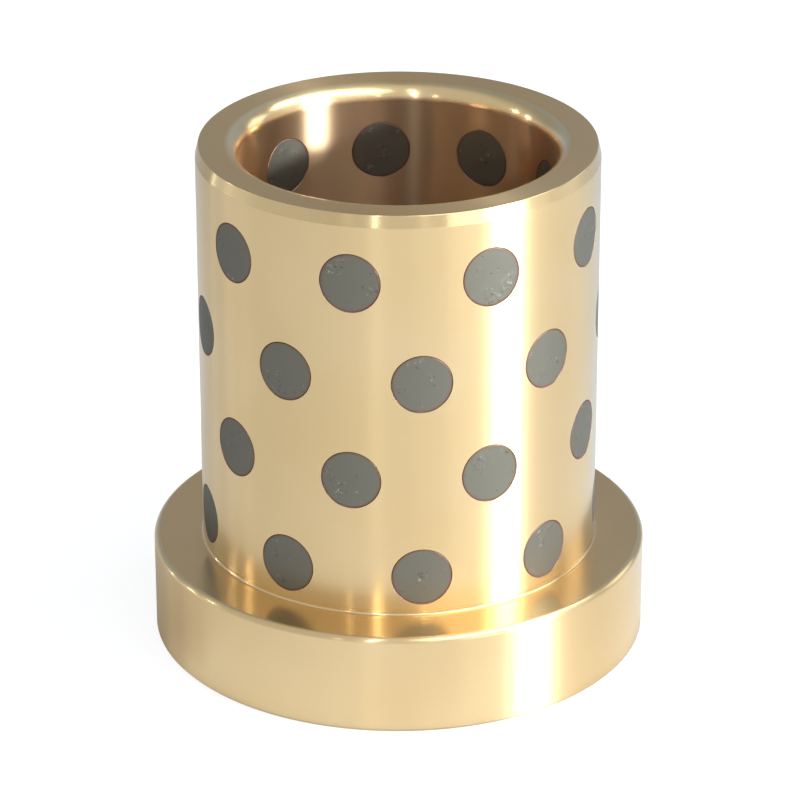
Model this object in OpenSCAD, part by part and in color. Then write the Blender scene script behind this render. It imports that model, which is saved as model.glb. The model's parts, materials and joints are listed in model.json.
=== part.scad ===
// Shoulder guide bushing: a turned bronze shell with graphite plugs through its wall.
// Origin at the middle of the flange's underside, +Z along the bore towards the nose.

/* [Shell] */
// Overall length, from the flange's underside to the nose face
overall_l = 42; // [36:0.5:60]
// Outside diameter of the tube, which presses into its plate
tube_od = 32; // [29:0.5:37]
// Diameter of the bore, which runs on a guide pillar
bore_d = 25; // [18:0.5:28]
// Diameter of the flange
flange_od = 40; // [35:0.5:60]
// Thickness of the flange
flange_t = 8.3; // [3:0.1:10]

/* [Edges] */
// Rounding where the bore opens at the nose
nose_entry_r = 1.4; // [0.3:0.1:2]
// Rounding where the bore opens at the flange's underside
base_entry_r = 1.2; // [0.3:0.1:3]
// Length of the taper that leads the nose into its plate
lead_in_l = 1; // [0.3:0.1:3]
// How far the lead-in taper falls below the tube's surface at the nose
lead_in_depth = 0.25; // [0.05:0.05:0.6]
// Fillet in the corner between the tube and the shoulder
corner_r = 0.5; // [0.1:0.1:0.9]
// Chamfer on the flange's upper edge
shoulder_chamfer = 0.3; // [0.1:0.1:1.5]
// Chamfer on the flange's lower edge
base_chamfer = 0.25; // [0.05:0.05:1.5]

/* [Plugs] */
// Diameter of a graphite plug
plug_d = 4.7; // [3:0.1:5.5]
// Number of rows of plugs along the tube
plug_rows = 4; // [1:1:6]
// Number of plugs round one row
plugs_per_row = 9; // [3:1:14]
// Height of the lowest row's middle above the shoulder face
first_row_h = 3.3; // [3:0.1:5]
// Distance of the highest row's middle below the nose face
last_row_gap = 5.6; // [3.6:0.1:8]
// Radial gap between a plug and its socket
socket_clearance = 0.02; // [0:0.01:0.1]

/* [Hidden] */
$fn = 144;
bronze = [0.80, 0.69, 0.46];
graphite = [0.40, 0.39, 0.36];
tube_r = tube_od / 2;
bore_r = bore_d / 2;
flange_r = flange_od / 2;
plug_step = 360 / plugs_per_row;
// the rows are spread evenly between the lowest and the highest
row_pitch = (overall_l - flange_t - first_row_h - last_row_gap) / max(plug_rows - 1, 1);
overcut = 1;
function plug_name(row, i) = str("plug_", row, "_", i);
function row_z(row) = flange_t + first_row_h + (row - 1) * row_pitch;
// every second row is turned by half a step, so that the plugs are staggered
function plug_angle(row, i) = (i - 1) * plug_step + (row % 2 == 0 ? plug_step / 2 : 0);

// What lies between a square corner at the origin and the arc that rounds it towards +X +Y
module corner_spandrel(r) {
    difference() {
        square(r);
        translate([r, r]) circle(r = r);
    }
}

// Outline of the tube and flange before the rounded edges, with X as the radius
module turned_outline() {
    polygon([
        [bore_r, 0],
        [flange_r - base_chamfer, 0],
        [flange_r, base_chamfer],
        [flange_r, flange_t - shoulder_chamfer],
        [flange_r - shoulder_chamfer, flange_t],
        [tube_r, flange_t],
        [tube_r, overall_l - lead_in_l],
        [tube_r - lead_in_depth, overall_l],
        [bore_r, overall_l]
    ]);
}

// Half section of the shell: the fillet is added in the corner, the bore's ends are rounded
module shell_section() {
    difference() {
        union() {
            turned_outline();
            translate([tube_r, flange_t]) corner_spandrel(corner_r);
        }
        translate([bore_r, 0]) corner_spandrel(base_entry_r);
        translate([bore_r, overall_l]) mirror([0, 1]) corner_spandrel(nose_entry_r);
    }
}

// A round bar along one plug's axis, from inside the bore to past the tube's surface
module radial_bar(row, i, d) {
    translate([0, 0, row_z(row)])
        rotate([0, 0, plug_angle(row, i)])
            translate([bore_r / 2, 0, 0])
                rotate([0, 90, 0])
                    cylinder(h = tube_r + overcut - bore_r / 2, d = d);
}

module shell() {
    color(bronze)
        difference() {
            rotate_extrude() shell_section();
            for (row = [1:plug_rows], i = [1:plugs_per_row])
                radial_bar(row, i, plug_d + 2 * socket_clearance);
        }
}

// One plug: its outer end is turned flush with the tube, its inner end bored flush with the bore
module plug(row, i) {
    color(graphite)
        difference() {
            intersection() {
                radial_bar(row, i, plug_d);
                cylinder(h = overall_l, d = tube_od);
            }
            cylinder(h = overall_l, d = bore_d);
        }
}

shell();
for (row = [1:plug_rows], i = [1:plugs_per_row])
    plug(row, i);
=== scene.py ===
import json
import math
import random

import bmesh
import bpy
import numpy as np
from mathutils import Matrix, Vector


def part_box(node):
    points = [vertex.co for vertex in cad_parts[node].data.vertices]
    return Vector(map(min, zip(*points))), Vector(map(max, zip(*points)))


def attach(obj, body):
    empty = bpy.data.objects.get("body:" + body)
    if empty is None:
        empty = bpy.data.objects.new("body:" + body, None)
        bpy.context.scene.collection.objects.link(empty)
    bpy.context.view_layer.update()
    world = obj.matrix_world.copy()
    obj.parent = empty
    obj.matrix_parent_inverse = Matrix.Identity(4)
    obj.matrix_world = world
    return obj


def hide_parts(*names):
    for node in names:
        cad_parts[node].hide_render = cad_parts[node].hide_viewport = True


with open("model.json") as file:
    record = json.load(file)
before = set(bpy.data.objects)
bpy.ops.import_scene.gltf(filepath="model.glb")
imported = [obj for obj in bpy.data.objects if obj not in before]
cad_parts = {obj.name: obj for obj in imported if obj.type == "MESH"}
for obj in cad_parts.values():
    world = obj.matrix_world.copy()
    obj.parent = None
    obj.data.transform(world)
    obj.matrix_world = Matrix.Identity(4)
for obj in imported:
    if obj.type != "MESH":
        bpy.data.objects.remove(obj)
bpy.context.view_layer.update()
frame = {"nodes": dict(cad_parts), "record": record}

# Shoulder guide bushing: one turned bronze shell, and graphite plugs through its wall.
# Metres throughout, with the bore along Z and the flange's underside at Z = 0.

mounts = {mount["name"]: mount for mount in frame["record"]["mounts"]}
plugNodes = sorted(name for name in frame["nodes"] if name.startswith("plug_"))


def metres(millimetres):
    return millimetres / 1000


def wallSpan(name):  # where a round mount's straight wall starts and ends along Z
    middle = mounts[name]["pos_m"][2]
    half = metres(mounts[name]["dims"]["length_mm"]) / 2
    return middle - half, middle + half


boreR = metres(mounts["bore"]["dims"]["r_mm"])
tubeR = metres(mounts["tube"]["dims"]["r_mm"])
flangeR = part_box("shell")[1].x
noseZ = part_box("shell")[1].z
shoulderZ = mounts["shoulder"]["pos_m"][2]
boreStart, boreEnd = wallSpan("bore")
_, tubeEnd = wallSpan("tube")
plugR = (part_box(plugNodes[0])[1].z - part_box(plugNodes[0])[0].z) / 2


# Shader building

class Wire:  # an output socket, on which arithmetic adds Math nodes
    def __init__(self, tree, socket):
        self.tree = tree
        self.socket = socket

    def output(self, name):  # another output of the same node
        return Wire(self.tree, self.socket.node.outputs[name])

    def math(self, operation, other=None, swap=False):
        node = self.tree.nodes.new("ShaderNodeMath")
        node.operation = operation
        operands = [self] if other is None else [other, self] if swap else [self, other]
        for operand, socket in zip(operands, node.inputs):
            connect(self.tree, operand, socket)
        return Wire(self.tree, node.outputs[0])

    def __add__(self, other):
        return self.math("ADD", other)

    def __radd__(self, other):
        return self.math("ADD", other, swap=True)

    def __sub__(self, other):
        return self.math("SUBTRACT", other)

    def __rsub__(self, other):
        return self.math("SUBTRACT", other, swap=True)

    def __mul__(self, other):
        return self.math("MULTIPLY", other)

    def __rmul__(self, other):
        return self.math("MULTIPLY", other, swap=True)

    def __truediv__(self, other):
        return self.math("DIVIDE", other)

    def __lt__(self, other):
        return self.math("LESS_THAN", other)


def connect(tree, value, socket):  # a link from a wire, or a plain value
    if isinstance(value, Wire):
        tree.links.new(value.socket, socket)
    else:
        socket.default_value = value


class Shader:
    def __init__(self, owner):
        owner.use_nodes = True
        self.tree = owner.node_tree
        self.tree.nodes.clear()

    def node(self, kind, settings=None, inputs=None, out=0):
        node = self.tree.nodes.new("ShaderNode" + kind)
        for name, value in (settings or {}).items():
            if name == "stops":
                marks = node.color_ramp.elements
                marks.remove(marks[1])
                marks[0].position, marks[0].color = value[0]
                for place, colour in value[1:]:
                    marks.new(place).color = colour
            else:
                setattr(node, name, value)
        for name, value in (inputs or {}).items():
            connect(self.tree, value, node.inputs[name])
        return Wire(self.tree, node.outputs[out]) if node.outputs else None

    def place(self):  # a point of the piece in its own coordinates
        return self.node("TexCoord", out="Object")

    def axes(self, vector):  # X, Y and Z of a vector
        split = self.node("SeparateXYZ", {}, {"Vector": vector})
        return [split.output(axis) for axis in "XYZ"]

    def mixColour(self, share, first, second, blend="MIX"):  # the Mix node's colours are at 6, 7 and 2
        return self.node("Mix", {"data_type": "RGBA", "blend_type": blend},
                         {0: share, 6: first, 7: second}, out=2)

    def smooth(self, value, low, high):  # 0 below low and 1 above high
        return self.node("MapRange", {"interpolation_type": "SMOOTHSTEP"},
                         {"Value": value, "From Min": low, "From Max": high})

    def fade(self, value, level, ends):  # smooth, with its two ends measured from a level
        return self.smooth(value, level + ends[0], level + ends[1])

    def noise(self, vector, scale, detail=2.0, roughness=0.5):
        return self.node("TexNoise", {}, {
            "Vector": vector, "Scale": scale, "Detail": detail, "Roughness": roughness})


def turnedPlace(shader):  # X, Y, Z and the distance from the bore's axis
    x, y, z = shader.axes(shader.place())
    return x, y, z, (x * x + y * y).math("SQRT")


def turnedNoise(shader, length, pitch):  # noise drawn out round the axis, like the marks of a turning tool
    x, y, z, radius = turnedPlace(shader)
    along = radius + z
    place = shader.node("CombineXYZ", {}, {"X": x / length, "Y": y / length, "Z": along / pitch})
    return shader.noise(place, 1.0, detail=2.0, roughness=0.6)


# Bronze

noiseMiddle = 0.5

bronzeSettings = {
    "colour": (0.80, 0.58, 0.318, 1),
    "warmColour": (0.78, 0.555, 0.285, 1),
    "boreColour": (0.79, 0.525, 0.305, 1),  # painted shade: a redder, darker bronze for the shade inside the bore
    "toneRange": (0.3, 0.7),
    "roughness": 0.20,  # the lands between the turning marks
    "anisotropy": 0.9,
    "grooveRoughness": 0.40,  # the marks themselves, which draw reflections out across them
    "grooveAnisotropy": 1.0,
    "quarterTurn": 0.25,  # turns the drawn-out reflections from along the marks to across them
    "grooveShare": 0.37,  # how much of the surface the marks take up, on the tube and the flange's side
    "boreShare": 0.38,
    "shoulderShare": 0.08,
    "finerShare": 0.05,  # on the nose face, its rounding and the taper
    "outsideEnds": (-0.000025, -0.000005),  # where the tube's marks begin, measured from its wall
    "boreEnds": (0.00002, 0.00007),  # where the bore's marks end, measured from its wall
    "shoulderStarts": (-0.00006, -0.00001),  # and where the shoulder's marks begin and end above its face
    "shoulderEnds": (0.0002, 0.0005),
    "boreSmoother": 0.04,  # how much lower the bore's roughness is
    "roughnessSpread": 0.06,
    "markPitch": 0.00022,  # distance from one turning mark to the next
    "markLength": 0.06,
    "markHeight": 0.0000008,
    "markContrast": 0.25,
    "patchSize": 0.012,
}


def bronzeMaterial(settings):
    material = bpy.data.materials.new("turnedBronze")
    shader = Shader(material)
    _, _, z, radius = turnedPlace(shader)
    marks = turnedNoise(shader, settings["markLength"], settings["markPitch"])
    patches = shader.noise(shader.place(), 1 / settings["patchSize"])
    outside = shader.fade(radius, tubeR, settings["outsideEnds"])
    inside = 1 - shader.fade(radius, boreR, settings["boreEnds"])
    shoulder = shader.fade(z, shoulderZ, settings["shoulderStarts"])
    shoulder = shoulder * (1 - shader.fade(z, shoulderZ, settings["shoulderEnds"]))
    tone = patches + (marks - noiseMiddle) * settings["markContrast"]
    tone = shader.smooth(tone, *settings["toneRange"])
    colour = shader.mixColour(tone, settings["colour"], settings["warmColour"])
    # the bore gets a painted shade, a redder and darker bronze
    colour = shader.mixColour(inside, colour, settings["boreColour"])
    spread = (patches - noiseMiddle) * settings["roughnessSpread"] - inside * settings["boreSmoother"]
    bump = shader.node("Bump", {}, {"Height": marks, "Distance": settings["markHeight"], "Strength": 1.0})
    lobes = []
    for roughness, anisotropy in (("roughness", "anisotropy"), ("grooveRoughness", "grooveAnisotropy")):
        lobes.append(shader.node("BsdfPrincipled", {}, {
            "Base Color": colour, "Metallic": 1.0, "Roughness": settings[roughness] + spread, "Normal": bump,
            "Anisotropic": settings[anisotropy], "Anisotropic Rotation": settings["quarterTurn"]}))
    share = settings["finerShare"] + inside * (settings["boreShare"] - settings["finerShare"])
    share = share + outside * (settings["grooveShare"] - settings["finerShare"])
    share = share + shoulder * (settings["shoulderShare"] - share)
    bronze = shader.node("MixShader", {}, {0: share, 1: lobes[0], 2: lobes[1]})
    shader.node("OutputMaterial", {}, {"Surface": bronze})
    return material


# The socket's broken edge, painted a dark, mottled brown as the shade of the gap round each plug

socketSettings = {
    "dark": (0.08, 0.045, 0.032, 1),
    "pale": (0.26, 0.14, 0.09, 1),
    "stainScale": 900,
    "stainRange": (0.3, 0.7),
    "metallic": 0.4,
    "roughness": 0.5,
}


def socketMaterial(settings):
    material = bpy.data.materials.new("socketEdge")
    shader = Shader(material)
    shadeMottle = shader.noise(shader.place(), settings["stainScale"], detail=3.0)
    shadeMottle = shader.smooth(shadeMottle, *settings["stainRange"])
    # painted shade: dark brown, mottled, on the chamfer round each socket
    edge = shader.node("BsdfPrincipled", {}, {
        "Base Color": shader.mixColour(shadeMottle, settings["dark"], settings["pale"]),
        "Metallic": settings["metallic"], "Roughness": settings["roughness"]})
    shader.node("OutputMaterial", {}, {"Surface": edge})
    return material


# Graphite

graphiteSettings = {
    "dark": (0.160, 0.146, 0.116, 1),
    "pale": (0.24, 0.216, 0.173, 1),
    "paleRange": (0.8, 1.2),  # so that only the brightest grains start to turn pale
    "metallic": 0.85,
    "roughness": 0.33,
    "grainRoughness": 0.2,
    "edgeTint": (0.6, 0.6, 0.6, 1),  # of what it mirrors at a low angle
    "grain": 0.00012,
    "scratchPitch": 0.00009,
    "scratchLength": 0.0022,
    "rimColour": (0.18, 0.105, 0.078, 1),  # bronze smeared over the plug's edge, with the shade of the gap round it painted in
    "rimRange": (0.05, 0.75),
    "rimShare": 0.85,
    "pitSpacing": 0.0006,
    "pitShare": 0.18,  # of the cells that have a pit
    "pitRange": (0.20, 0.06),  # its edge and floor, from the middle of its cell
    # how much painted shade darkens each pit
    "pitDarkness": 0.7,
    "pitDepth": 0.00002,
    "tornSize": 0.0016,  # patches where the tool has torn the surface into flakes
    "tornRange": (0.55, 0.64),
    "flakeSize": 0.0003,
    "fleck": (0.36, 0.33, 0.28, 1),  # painted sheen: a paler colour on the flakes' tops
    "fleckRange": (0.58, 0.72),
    "hollow": (0.09, 0.082, 0.066, 1),  # painted shade: the dark between the flakes, and in a pit
    "hollowRange": (0.44, 0.32),
    "grainHeight": 0.25,  # heights as shares of a pit's depth
    "scratchHeight": 0.25,
    "flakeHeight": 2,
    "bumpStrength": 0.5,
}


def graphiteMaterial(settings):
    material = bpy.data.materials.new("plugGraphite")
    shader = Shader(material)
    place = shader.place()
    tone = shader.node("Attribute", {"attribute_name": "tone"}, out="Fac")
    rim = shader.node("Attribute", {"attribute_name": "rim"}, out="Fac")
    rim = shader.smooth(rim, *settings["rimRange"])
    grain = shader.noise(place, 1 / settings["grain"], detail=3.0, roughness=0.65)
    scratches = turnedNoise(shader, settings["scratchLength"], settings["scratchPitch"])
    cells = shader.node("TexVoronoi", {}, {"Vector": place, "Scale": 1 / settings["pitSpacing"]})
    drawn, _, _ = shader.axes(cells.output("Color"))
    pits = shader.smooth(cells, *settings["pitRange"]) * (drawn < settings["pitShare"])
    torn = shader.smooth(shader.noise(place, 1 / settings["tornSize"]), *settings["tornRange"])
    flakes = shader.noise(place, 1 / settings["flakeSize"], detail=4.0, roughness=0.6)
    sheenFlecks = shader.smooth(flakes, *settings["fleckRange"]) * torn
    shadeHollows = shader.smooth(flakes, *settings["hollowRange"]) * torn
    pale = shader.smooth((grain + scratches) / 2 + tone, *settings["paleRange"])
    colour = shader.mixColour(pale, settings["dark"], settings["pale"])
    # painted sheen on the flakes' tops
    colour = shader.mixColour(sheenFlecks, colour, settings["fleck"])
    # painted shade between the flakes and in the pits
    colour = shader.mixColour(shadeHollows, colour, settings["hollow"])
    colour = shader.mixColour(pits * settings["pitDarkness"], colour, settings["hollow"])
    # the rim: smeared bronze, with painted shade of the gap round the plug
    colour = shader.mixColour(rim * settings["rimShare"], colour, settings["rimColour"])
    height = scratches * settings["scratchHeight"] + grain * settings["grainHeight"]
    height = height + flakes * torn * settings["flakeHeight"] - pits
    bump = shader.node("Bump", {}, {
        "Height": height, "Distance": settings["pitDepth"], "Strength": settings["bumpStrength"]})
    graphite = shader.node("BsdfPrincipled", {}, {
        "Base Color": colour, "Metallic": settings["metallic"], "Normal": bump,
        "Roughness": settings["roughness"] + grain * settings["grainRoughness"],
        "Specular Tint": settings["edgeTint"]})
    shader.node("OutputMaterial", {}, {"Surface": graphite})
    return material


# Solids that run through the wall

def ringSolid(bm, rings, steps):
    # A closed solid about +X. Each ring has a radius, the wall that it follows (None where it is flat)
    # and a shift along X.
    turn = Matrix.Rotation(math.pi / 2, 4, "Y")
    verts = bmesh.ops.create_circle(bm, cap_ends=False, segments=steps, radius=1, matrix=turn)["verts"]
    edges = list({edge for vert in verts for edge in vert.link_edges})
    firstEdges = edges
    for index, (radius, wallR, shift) in enumerate(rings):
        if index:
            grown = bmesh.ops.extrude_edge_only(bm, edges=edges)["geom"]
            verts = [item for item in grown if isinstance(item, bmesh.types.BMVert)]
            edges = [item for item in grown if isinstance(item, bmesh.types.BMEdge)
                     and all(vert in verts for vert in item.verts)]
        for vert in verts:
            size = math.hypot(vert.co.y, vert.co.z)
            y = vert.co.y / size * radius
            z = vert.co.z / size * radius
            x = math.sqrt(wallR ** 2 - y ** 2) if wallR else 0
            vert.co = (shift + x, y, z)
    for ends, (_, wallR, shift) in ((firstEdges, rings[0]), (edges, rings[-1])):
        cap = bmesh.ops.edgeloop_fill(bm, edges=ends)["faces"]
        middle = bmesh.ops.poke(bm, faces=cap)["verts"][0]
        middle.co = (shift + (wallR or 0), 0, 0)
    bmesh.ops.recalc_face_normals(bm, faces=bm.faces)


def throughWall(nodeName):  # turns and lifts a solid from +X to where a plug's node lies
    low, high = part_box(nodeName)
    middle = (low + high) / 2
    turn = Matrix.Rotation(math.atan2(middle.y, middle.x), 4, "Z")
    return Matrix.Translation((0, 0, middle.z)) @ turn


def newPiece(name, bm, materials):
    mesh = bpy.data.meshes.new(name)
    bm.to_mesh(mesh)
    bm.free()
    for material in materials:
        mesh.materials.append(material)
    piece = bpy.data.objects.new(name, mesh)
    bpy.context.scene.collection.objects.link(piece)
    return piece


# Shell

shellSettings = {
    "leadInDepth": 0.00025,
    "baseChamfer": 0.00025,
    "shoulderChamfer": 0.0003,
    "edgeBreak": 0.00006,  # what deburring takes off each sharp edge
    "softEdge": 0.00016,  # and what polishing takes off the flange's upper edges
    "cornerR": 0.00018,  # fillet that is seen between tube and shoulder
    "arcSteps": 12,
    "breakSteps": 3,
    "turnSteps": 288,
    "mergeDistance": 1e-7,
    "socketSlot": 1,  # the shell's second material
    "socketGap": 0.00002,
    "socketBreak": 0.00005,  # width and depth of the chamfer round each socket's mouth
    "socketDepth": 0.00005,
    "socketSteps": 48,
    "cutterReach": 0.0004,
}


def shellOutline(bm, settings):  # closed half section in the XZ plane, with X as the radius
    low = settings["baseChamfer"]
    high = settings["shoulderChamfer"]
    edge = settings["edgeBreak"]
    soft = settings["softEdge"]
    corners = [
        (boreR, 0, boreStart), (flangeR - low, 0, edge), (flangeR, low, edge),
        (flangeR, shoulderZ - high, soft), (flangeR - high, shoulderZ, soft),
        (tubeR, shoulderZ, settings["cornerR"]), (tubeR, tubeEnd, edge),
        (tubeR - settings["leadInDepth"], noseZ, edge), (boreR, noseZ, noseZ - boreEnd),
    ]
    verts = [bm.verts.new((x, 0, z)) for x, z, _ in corners]
    for index, vert in enumerate(verts):
        bm.edges.new((verts[index - 1], vert))
    for vert, (_, _, radius) in zip(verts, corners):
        steps = settings["breakSteps"] if radius == edge else settings["arcSteps"]
        bmesh.ops.bevel(bm, geom=[vert], offset=radius, offset_type="OFFSET", segments=steps,
                        profile=0.5, affect="VERTICES", material=-1)


def outlineLoop(bm):  # the outline's points in order, anticlockwise seen from -Y
    bm.verts.ensure_lookup_table()
    vert = bm.verts[0]
    edge = vert.link_edges[0]
    loop = []
    while not loop or vert != bm.verts[0]:
        loop.append((vert.co.x, vert.co.z))
        vert = edge.other_vert(vert)
        edge = next(other for other in vert.link_edges if other != edge)
    points = np.array(loop)
    after = np.roll(points, -1, axis=0)
    area = (points[:, 0] * after[:, 1] - points[:, 1] * after[:, 0]).sum()
    return points if area > 0 else points[::-1]


def read(items, name, width, kind):  # one value of every vertex, corner or face
    values = np.empty(len(items) * width, kind)
    items.foreach_get(name, values)
    return values.reshape(-1, width) if width > 1 else values


def outlineNormals(outline):  # at each point, with long sides outweighing short ones
    side = np.roll(outline, -1, axis=0) - outline
    length = np.hypot(side[:, 0], side[:, 1])[:, None]
    weighted = np.column_stack([side[:, 1], -side[:, 0]]) / length * length ** 2
    normals = weighted + np.roll(weighted, 1, axis=0)
    return normals / np.hypot(normals[:, 0], normals[:, 1])[:, None]


def lightAsTurned(mesh, outline, socketSlot):
    # Every corner on the turned faces gets the normal of the true outline, so that the sockets leave no
    # flats or ripples in the reflections.
    side = np.roll(outline, -1, axis=0) - outline
    length = np.hypot(side[:, 0], side[:, 1])
    startNormal = outlineNormals(outline)
    endNormal = np.roll(startNormal, -1, axis=0)
    points = read(mesh.vertices, "co", 3, np.float32)[read(mesh.loops, "vertex_index", 1, np.int32)]
    faceOf = np.repeat(np.arange(len(mesh.polygons)), read(mesh.polygons, "loop_total", 1, np.int32))

    # each face belongs to the side of the outline that lies nearest to its middle
    centres = read(mesh.polygons, "center", 3, np.float32)
    flat = np.column_stack([np.hypot(centres[:, 0], centres[:, 1]), centres[:, 2]])
    gap = flat[:, None] - outline[None]
    share = np.clip((gap * side[None]).sum(2) / (length ** 2)[None], 0, 1)
    distance = np.linalg.norm(gap - share[..., None] * side[None], axis=2)
    nearest = distance.argmin(1)[faceOf]

    # and each corner's normal lies between those of that side's two ends
    radius = np.hypot(points[:, 0], points[:, 1])
    offset = np.column_stack([radius, points[:, 2]]) - outline[nearest]
    share = np.clip((offset * side[nearest]).sum(1) / length[nearest] ** 2, 0, 1)[:, None]
    normal = startNormal[nearest] * (1 - share) + endNormal[nearest] * share
    outward = normal[:, 0] / radius
    turned = np.column_stack([outward * points[:, 0], outward * points[:, 1], normal[:, 1]])
    socketFaces = read(mesh.polygons, "material_index", 1, np.int32)[faceOf] == socketSlot
    turned[socketFaces] = read(mesh.polygons, "normal", 3, np.float32)[faceOf][socketFaces]
    turned /= np.linalg.norm(turned, axis=1)[:, None]
    mesh.polygons.foreach_set("use_smooth", np.ones(len(mesh.polygons), bool))
    mesh.normals_split_custom_set(turned.tolist())


def socketCutter(settings):
    radius = plugR + settings["socketGap"]
    reach = settings["cutterReach"]
    depth = settings["socketDepth"]
    mouth = radius + settings["socketBreak"] * (1 + reach / depth)
    rings = [
        (mouth, None, tubeR + reach), (mouth, tubeR, reach), (radius, tubeR, -depth),
        (radius, boreR, depth), (mouth, boreR, -reach), (mouth, None, boreR - 2 * reach),
    ]
    cutters = bmesh.new()
    for nodeName in plugNodes:
        one = bmesh.new()
        ringSolid(one, rings, settings["socketSteps"])
        one.transform(throughWall(nodeName))
        mesh = bpy.data.meshes.new("cutterPart")
        one.to_mesh(mesh)
        one.free()
        cutters.from_mesh(mesh)
        bpy.data.meshes.remove(mesh)
    for face in cutters.faces:
        face.material_index = settings["socketSlot"]
    return newPiece("socketCutter", cutters, [None, None])


def makeShell(settings):
    bm = bmesh.new()
    shellOutline(bm, settings)
    outline = outlineLoop(bm)
    bmesh.ops.spin(bm, geom=bm.verts[:] + bm.edges[:], cent=(0, 0, 0), axis=(0, 0, 1), dvec=(0, 0, 0),
                   angle=math.tau, steps=settings["turnSteps"], use_merge=True, use_duplicate=False)
    bmesh.ops.remove_doubles(bm, verts=bm.verts, dist=settings["mergeDistance"])
    bmesh.ops.recalc_face_normals(bm, faces=bm.faces)
    materials = [bronzeMaterial(bronzeSettings), socketMaterial(socketSettings)]
    shell = newPiece("bronzeShell", bm, materials)
    cutter = socketCutter(settings)
    cut = shell.modifiers.new("sockets", "BOOLEAN")
    cut.operation = "DIFFERENCE"
    cut.solver = "EXACT"
    cut.material_mode = "INDEX"
    cut.object = cutter
    cutShell = shell.evaluated_get(bpy.context.evaluated_depsgraph_get())
    drilled = bpy.data.meshes.new_from_object(cutShell)
    shell.modifiers.clear()
    shell.data = drilled
    bpy.data.objects.remove(cutter)
    lightAsTurned(drilled, outline, settings["socketSlot"])
    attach(shell, "root")
    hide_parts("shell")


# Plugs

plugSettings = {
    "edgeBreak": 0.00003,
    "sunk": 0.00001,  # how far the softer graphite has worn below the bronze
    "steps": 48,
    "faceRings": (0.35, 0.7, 0.92),  # as shares of the radius, to keep the face on the wall's curve
    "edgeRings": ((2, 0), (1, 0), (0.3, 0.3), (0, 1)),  # in edge breaks: inside the radius, below the face
    "rimStart": 0.95,  # share of the radius from which the rim gets smeared bronze and painted shade
    "toneSpread": 0.14,
    "seed": 7,
}


def makePlug(nodeName, settings, material, tone):
    edge = settings["edgeBreak"]
    sunk = settings["sunk"]
    outer = [(plugR * share, tubeR, -sunk) for share in settings["faceRings"]]
    outer += [(plugR - edge * inside, tubeR, -sunk - edge * below) for inside, below in settings["edgeRings"]]
    inner = [(radius, boreR, -shift) for radius, _, shift in reversed(outer)]
    bm = bmesh.new()
    ringSolid(bm, outer + inner, settings["steps"])
    rim = bm.verts.layers.float.new("rim")
    for vert in bm.verts:
        vert[rim] = math.hypot(vert.co.y, vert.co.z) > plugR * settings["rimStart"]
    bm.transform(throughWall(nodeName))
    piece = newPiece(nodeName.replace("plug", "graphitePlug"), bm, [material])
    mesh = piece.data
    mesh.polygons.foreach_set("use_smooth", [True] * len(mesh.polygons))
    tones = mesh.attributes.new("tone", "FLOAT", "POINT")
    tones.data.foreach_set("value", [tone] * len(mesh.vertices))
    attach(piece, "root")
    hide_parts(nodeName)


def makePlugs(settings):
    material = graphiteMaterial(graphiteSettings)
    draw = random.Random(settings["seed"])
    for nodeName in plugNodes:
        tone = (draw.random() - 0.5) * settings["toneSpread"]
        makePlug(nodeName, settings, material, tone)


# Camera

cameraSettings = {
    "turn": -86.523,  # direction from the axis to the camera, in degrees from +X
    "distance": 0.30231,
    "height": 0.15848,
    "aimHeight": 0.01954,
    "aimSide": 0.00012,
    "roll": -0.072,
    "lens": 185.14,
    "clipStart": 0.01,
    "clipEnd": 10,
}


def sideways(turn, distance, height=0.0):  # a place, by its degrees to the camera's right
    angle = math.radians(cameraSettings["turn"] + turn)
    return Vector((distance * math.cos(angle), distance * math.sin(angle), height))


def makeCamera(settings):
    data = bpy.data.cameras.new("camera")
    data.lens = settings["lens"]
    data.clip_start = settings["clipStart"]
    data.clip_end = settings["clipEnd"]
    camera = bpy.data.objects.new("camera", data)
    bpy.context.scene.collection.objects.link(camera)
    camera.location = sideways(0, settings["distance"], settings["height"])
    aim = sideways(90, settings["aimSide"], settings["aimHeight"])
    facing = (aim - camera.location).to_track_quat("-Z", "Y").to_matrix().to_4x4()
    facing = facing @ Matrix.Rotation(math.radians(settings["roll"]), 4, "Z")
    camera.rotation_euler = facing.to_euler()
    bpy.context.scene.camera = camera


# Lights

lightSettings = {
    "daylight": (1.0, 1.085, 1.15),  # a little cooler than plain white, as through a window
    "aimHeight": 0.02,
    "lamps": [
        # name, degrees to the camera's right, elevation, distance, width, height, radiance
        ("keyStrip", 61.5, 15.2, 0.60, 0.165, 0.030, 375.0),
        ("upperStrip", 62, 12.4, 0.60, 0.145, 0.016, 100.0),
        ("topStrip", 63, 18.4, 0.60, 0.125, 0.014, 60.0),
        ("windowStrip", 63.5, 31, 0.60, 0.135, 0.210, 1.0),
        ("lowBox", 49, 2.5, 0.75, 0.62, 0.05, 6.5),
        ("sideBox", 60, 26, 0.75, 0.90, 0.75, 0.25),
        ("highBox", 68, 58, 0.68, 1.00, 0.30, 3.0),
        ("thinStrip", -12.5, 32, 0.60, 0.018, 0.60, 4.5),
        ("thinHigh", -12.5, 44, 0.60, 0.026, 0.26, 5.0),
        ("sideLine", -28, 26, 0.60, 0.022, 0.05, 8.0),
        ("spotLine", 14.6, 25, 0.60, 0.022, 0.07, 7.0),
        ("leftSpot", -95, 22.5, 0.60, 0.042, 0.058, 10.0),
        ("leftLow", -106.5, 15, 0.60, 0.040, 0.050, 14.0),
        ("lowLine", -121, 3, 0.60, 0.012, 0.04, 30.0),
        ("farBox", 123, 22, 0.60, 0.20, 0.22, 1.3),
    ],
}


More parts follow.
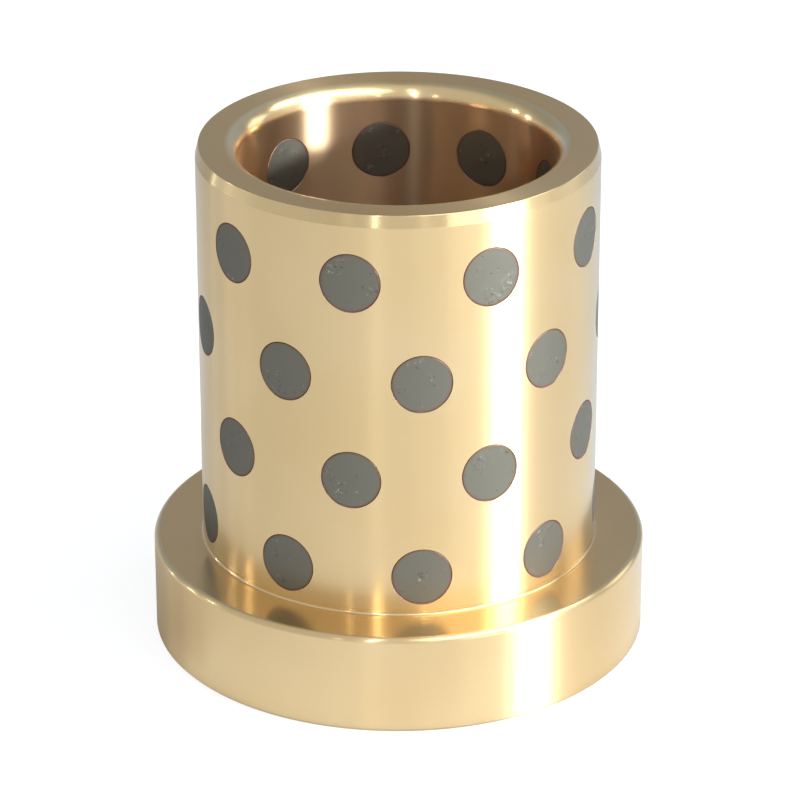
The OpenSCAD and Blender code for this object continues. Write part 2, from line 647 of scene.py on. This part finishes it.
def makeLights(settings):
    aim = Vector((0, 0, settings["aimHeight"]))
    for name, side, elevation, distance, width, height, radiance in settings["lamps"]:
        data = bpy.data.lights.new(name, "AREA")
        data.shape = "RECTANGLE"
        data.size = width
        data.size_y = height
        data.energy = radiance * math.pi * width * height
        data.color = settings["daylight"]
        light = bpy.data.objects.new(name, data)
        bpy.context.scene.collection.objects.link(light)
        rise = math.radians(elevation)
        light.location = sideways(side, distance * math.cos(rise), distance * math.sin(rise))
        light.rotation_euler = (aim - light.location).to_track_quat("-Z", "Y").to_euler()


# Floor and walls. The rows that reflections see of them give degrees to the camera's right, then the
# light's red, green and blue.

white = (1, 1, 1, 1)

floorSettings = {
    "size": 3.0,
    "colour": (0.80, 0.80, 0.80, 1),
    "glow": 0.75,  # share of a plain glow that the camera and the reflections see
    "cameraGlow": 1.12,
    "nearGlow": 0.16,  # how much more the reflections see of the floor close by
    "nearFade": (0.0214, 0.045),
    "underFade": (0.0183, 0.0214),  # the floor under the part stays dark in the reflections
    "farFade": (0.100, 0.155),
    "farSides": ((146, (0.75, 0.95), 0.46), (-152, (0.84, 0.87), 0.55)),  # and so do two far sides of it
    "shadowTurn": -104,  # and the part's shadow, which takes its colour from the bronze
    "shadowRange": (0.66, 0.96),
    "shadowFade": (0.022, 0.040),
    "shadowDepth": 0.55,
    "shadowColour": (1.0, 0.80, 0.58, 1),
    "rows": [
        (-180, 0.62, 0.64, 0.68), (-120, 0.64, 0.64, 0.65), (-66, 0.73, 0.73, 0.72), (-10, 0.89, 0.89, 0.88),
        (0, 0.94, 0.94, 0.94), (15, 0.87, 0.87, 0.87), (60, 0.90, 0.90, 0.90), (95, 0.88, 0.88, 0.88),
        (118, 0.86, 0.89, 0.95), (137, 0.78, 0.90, 1.06), (180, 0.62, 0.64, 0.68),
    ],
}

wallSettings = {
    "lowRows": [
        (-180, 0.38, 0.32, 0.265), (-174, 0.39, 0.34, 0.29), (-163, 0.42, 0.45, 0.52),
        (-150, 0.62, 0.65, 0.68), (-124, 0.62, 0.64, 0.66), (-120, 0.86, 0.86, 0.86), (-98, 0.84, 0.84, 0.82),
        (-95, 0.61, 0.61, 0.60), (-58, 0.55, 0.54, 0.52), (-34, 0.49, 0.48, 0.46), (-14, 0.56, 0.56, 0.56),
        (0, 0.60, 0.60, 0.60), (110, 0.58, 0.58, 0.58), (122, 0.50, 0.50, 0.51), (132, 0.42, 0.44, 0.48),
        (150, 0.40, 0.43, 0.50), (163, 0.42, 0.45, 0.52), (174, 0.39, 0.34, 0.29), (180, 0.38, 0.32, 0.265),
    ],
    "highRows": [
        (-180, 0.34, 0.31, 0.285), (-174, 0.345, 0.335, 0.33), (-164, 0.34, 0.42, 0.56),
        (-148, 0.34, 0.38, 0.44), (-128, 0.36, 0.37, 0.38), (-112, 0.48, 0.50, 0.54), (-92, 0.68, 0.68, 0.66),
        (-35, 0.68, 0.67, 0.65), (-8, 0.78, 0.78, 0.78), (25, 0.80, 0.80, 0.80), (105, 0.78, 0.78, 0.78),
        (120, 0.48, 0.50, 0.53), (140, 0.40, 0.43, 0.48), (164, 0.41, 0.50, 0.66), (174, 0.37, 0.37, 0.38),
        (180, 0.34, 0.31, 0.285),
    ],
    "highFade": (0.08, 0.30),  # from the low rows to the high ones, by how steeply a ray goes up
}


def rayKinds(shader):  # camera rays, and those of reflections
    rays = shader.node("LightPath")
    camera = rays.output("Is Camera Ray").math("MAXIMUM", rays.output("Is Transmission Ray"))
    return camera, rays.output("Is Glossy Ray")


def turnStops(shader, x, y, rows):  # a colour that depends on the direction from the axis
    front = sideways(0, 1)
    right = sideways(90, 1)
    turn = (x * right.x + y * right.y).math("ARCTAN2", x * front.x + y * front.y) / math.tau + 0.5
    stops = [(degrees / 360 + 0.5, (*colour, 1)) for degrees, *colour in rows]
    light = shader.node("ValToRGB", {"stops": stops}, {"Fac": turn})
    return shader.node("VectorMath", {"operation": "MULTIPLY"}, {0: light, 1: lightSettings["daylight"]})


def makeFloor(settings):
    bm = bmesh.new()
    bmesh.ops.create_grid(bm, x_segments=1, y_segments=1, size=settings["size"] / 2)
    material = bpy.data.materials.new("paleFloor")
    shader = Shader(material)
    camera, glossy = rayKinds(shader)
    x, y, _, radius = turnedPlace(shader)

    def towards(turn, ends):  # 1 where a point of the floor lies in one direction from the axis
        way = sideways(turn, 1)
        return shader.smooth((x * way.x + y * way.y) / radius, *ends)

    near = 1 - shader.smooth(radius, *settings["nearFade"])
    under = shader.smooth(radius, *settings["underFade"])
    shadow = towards(settings["shadowTurn"], settings["shadowRange"])
    shadow = shadow * (1 - shader.smooth(radius, *settings["shadowFade"]))
    far = sum(towards(turn, ends) * depth for turn, ends, depth in settings["farSides"])
    far = far * shader.smooth(radius, *settings["farFade"])
    mirrored = (near * settings["nearGlow"] + 1) * under * (1 - shadow * settings["shadowDepth"])
    mirrored = mirrored * (1 - far)
    tint = shader.mixColour(shadow, white, settings["shadowColour"])
    mirror = shader.mixColour(1.0, turnStops(shader, x, y, settings["rows"]), tint, blend="MULTIPLY")
    paper = shader.node("BsdfDiffuse", {}, {"Color": settings["colour"]})
    glow = shader.node("Emission", {}, {
        "Color": shader.mixColour(glossy, white, mirror),
        "Strength": camera * settings["cameraGlow"] + glossy * mirrored})
    share = (camera + glossy).math("MINIMUM", 1) * settings["glow"]
    mixed = shader.node("MixShader", {}, {0: share, 1: paper, 2: glow})
    shader.node("OutputMaterial", {}, {"Surface": mixed})
    floor = newPiece("paleFloor", bm, [material])


def makeWalls(settings):  # in the world, where the camera sees plain white
    world = bpy.data.worlds.new("studio")
    bpy.context.scene.world = world
    shader = Shader(world)
    camera, _ = rayKinds(shader)
    x, y, up = shader.axes(shader.node("TexCoord", out="Generated"))
    low = turnStops(shader, x, y, settings["lowRows"])
    high = turnStops(shader, x, y, settings["highRows"])
    light = shader.mixColour(shader.smooth(up, *settings["highFade"]), low, high)
    light = shader.mixColour(camera, light, white)
    background = shader.node("Background", {}, {"Color": light, "Strength": 1.0})
    shader.node("OutputWorld", {}, {"Surface": background})


print("shell")
makeShell(shellSettings)
print("plugs")
makePlugs(plugSettings)
print("camera and lights")
makeCamera(cameraSettings)
makeLights(lightSettings)
print("floor and walls")
makeFloor(floorSettings)
makeWalls(wallSettings)
bpy.context.scene.view_settings.view_transform = "Standard"
